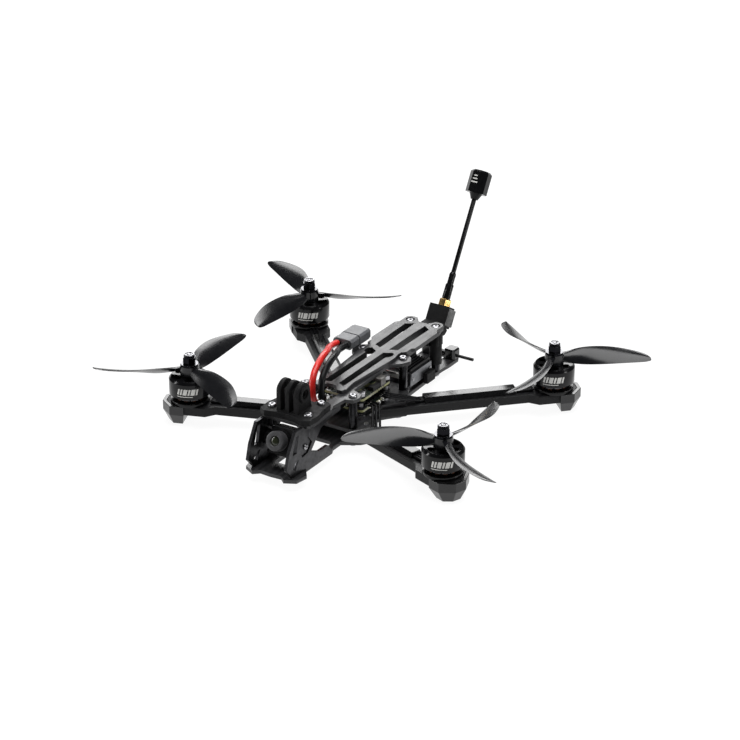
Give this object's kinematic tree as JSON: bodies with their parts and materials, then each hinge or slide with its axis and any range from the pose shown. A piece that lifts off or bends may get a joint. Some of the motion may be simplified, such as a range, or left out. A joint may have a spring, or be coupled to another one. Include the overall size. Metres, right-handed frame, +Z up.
{
  "type": "fpv quadcopter drone",
  "caption": "Carbon-frame quadcopter with swept arms, three-blade propellers, tilting nose camera, slotted battery deck and a long tail antenna.",
  "frame": {"origin": "on the ground, under the middle of the craft's box", "axes": "+Z up, nose towards -Y, the craft's left side towards +X"},
  "size_m": [0.3094, 0.275, 0.1297],
  "materials": {
    "carbon": "satin twill",
    "carbon_arm": "satin twill, machined edge",
    "tpu": "matte, layered",
    "dark_aluminium": "anodised satin",
    "standoff": "anodised satin",
    "steel": "polished",
    "cover": "gloss",
    "board": "satin",
    "capacitor": "gloss sleeve",
    "shield": "satin",
    "button": "matte",
    "camera": "matte",
    "lens": "gloss",
    "brass": "polished",
    "antenna": "gloss",
    "propeller": "gloss",
    "motor": "satin black",
    "winding": "enamelled copper",
    "plug": "matte",
    "red_wire": "silicone",
    "black_wire": "silicone"
  },
  "bodies": {
    "frame": {"bottom_plate": "carbon", "mid_plate": "carbon", "main_top_plate": "carbon", "battery_plate": "carbon", "wire_covers": "cover", "camera_plate_left": "dark_aluminium", "camera_plate_right": "dark_aluminium", "action_cam_mount": "tpu", "standoffs": "standoff", "frame_screws": "steel", "stack_bolts": "steel", "stack_grommets": "tpu", "flight_controller": "board", "speed_controller": "board", "capacitor": "capacitor", "receiver": "board", "vtx_module": "shield", "antenna_mount": "tpu", "sma_connector": "brass", "antenna_stem": "antenna", "antenna_cap": "antenna", "tail_guard": "tpu", "receiver_antenna": "antenna", "vtx_holder": "tpu", "battery_plug": "plug", "battery_wire_red": "red_wire", "battery_wire_black": "black_wire", "motor_wires": "black_wire", "arm_front_left": "carbon_arm", "foot_guard_front_left": "tpu", "motor_base_front_left": "motor", "stator_front_left": "winding", "arm_front_right": "carbon_arm", "foot_guard_front_right": "tpu", "motor_base_front_right": "motor", "stator_front_right": "winding", "arm_rear_left": "carbon_arm", "foot_guard_rear_left": "tpu", "motor_base_rear_left": "motor", "stator_rear_left": "winding", "arm_rear_right": "carbon_arm", "foot_guard_rear_right": "tpu", "motor_base_rear_right": "motor", "stator_rear_right": "winding"},
    "camera": {"camera_body": "camera", "camera_lens": "lens", "camera_pivot_screws": "steel"},
    "rotor_front_left": {"bell_front_left": "motor", "propeller_front_left": "propeller", "prop_nut_front_left": "steel"},
    "rotor_front_right": {"bell_front_right": "motor", "propeller_front_right": "propeller", "prop_nut_front_right": "steel"},
    "rotor_rear_left": {"bell_rear_left": "motor", "propeller_rear_left": "propeller", "prop_nut_rear_left": "steel"},
    "rotor_rear_right": {"bell_rear_right": "motor", "propeller_rear_right": "propeller", "prop_nut_rear_right": "steel"},
    "vtx_button": {"vtx_button": "button"}
  },
  "joints": [
    {"name": "spin_front_left", "type": "hinge", "parent": "frame", "child": "rotor_front_left", "pos_m": [0.098, -0.084, 0.03], "axis": [0, 0, 1], "continuous": true},
    {"name": "spin_front_right", "type": "hinge", "parent": "frame", "child": "rotor_front_right", "pos_m": [-0.098, -0.084, 0.03], "axis": [0, 0, 1], "continuous": true},
    {"name": "spin_rear_left", "type": "hinge", "parent": "frame", "child": "rotor_rear_left", "pos_m": [0.098, 0.061, 0.03], "axis": [0, 0, 1], "continuous": true},
    {"name": "spin_rear_right", "type": "hinge", "parent": "frame", "child": "rotor_rear_right", "pos_m": [-0.098, 0.061, 0.03], "axis": [0, 0, 1], "continuous": true},
    {"name": "camera_tilt", "type": "hinge", "parent": "frame", "child": "camera", "pos_m": [0, -0.1165, 0.024], "axis": [-1, 0, 0], "range_deg": [-20, 20]},
    {"name": "vtx_button_press", "type": "slide", "parent": "frame", "child": "vtx_button", "axis": [0, 0, -1], "range_m": [0, 0.0004], "stiffness_N_per_m": 300}
  ]
}
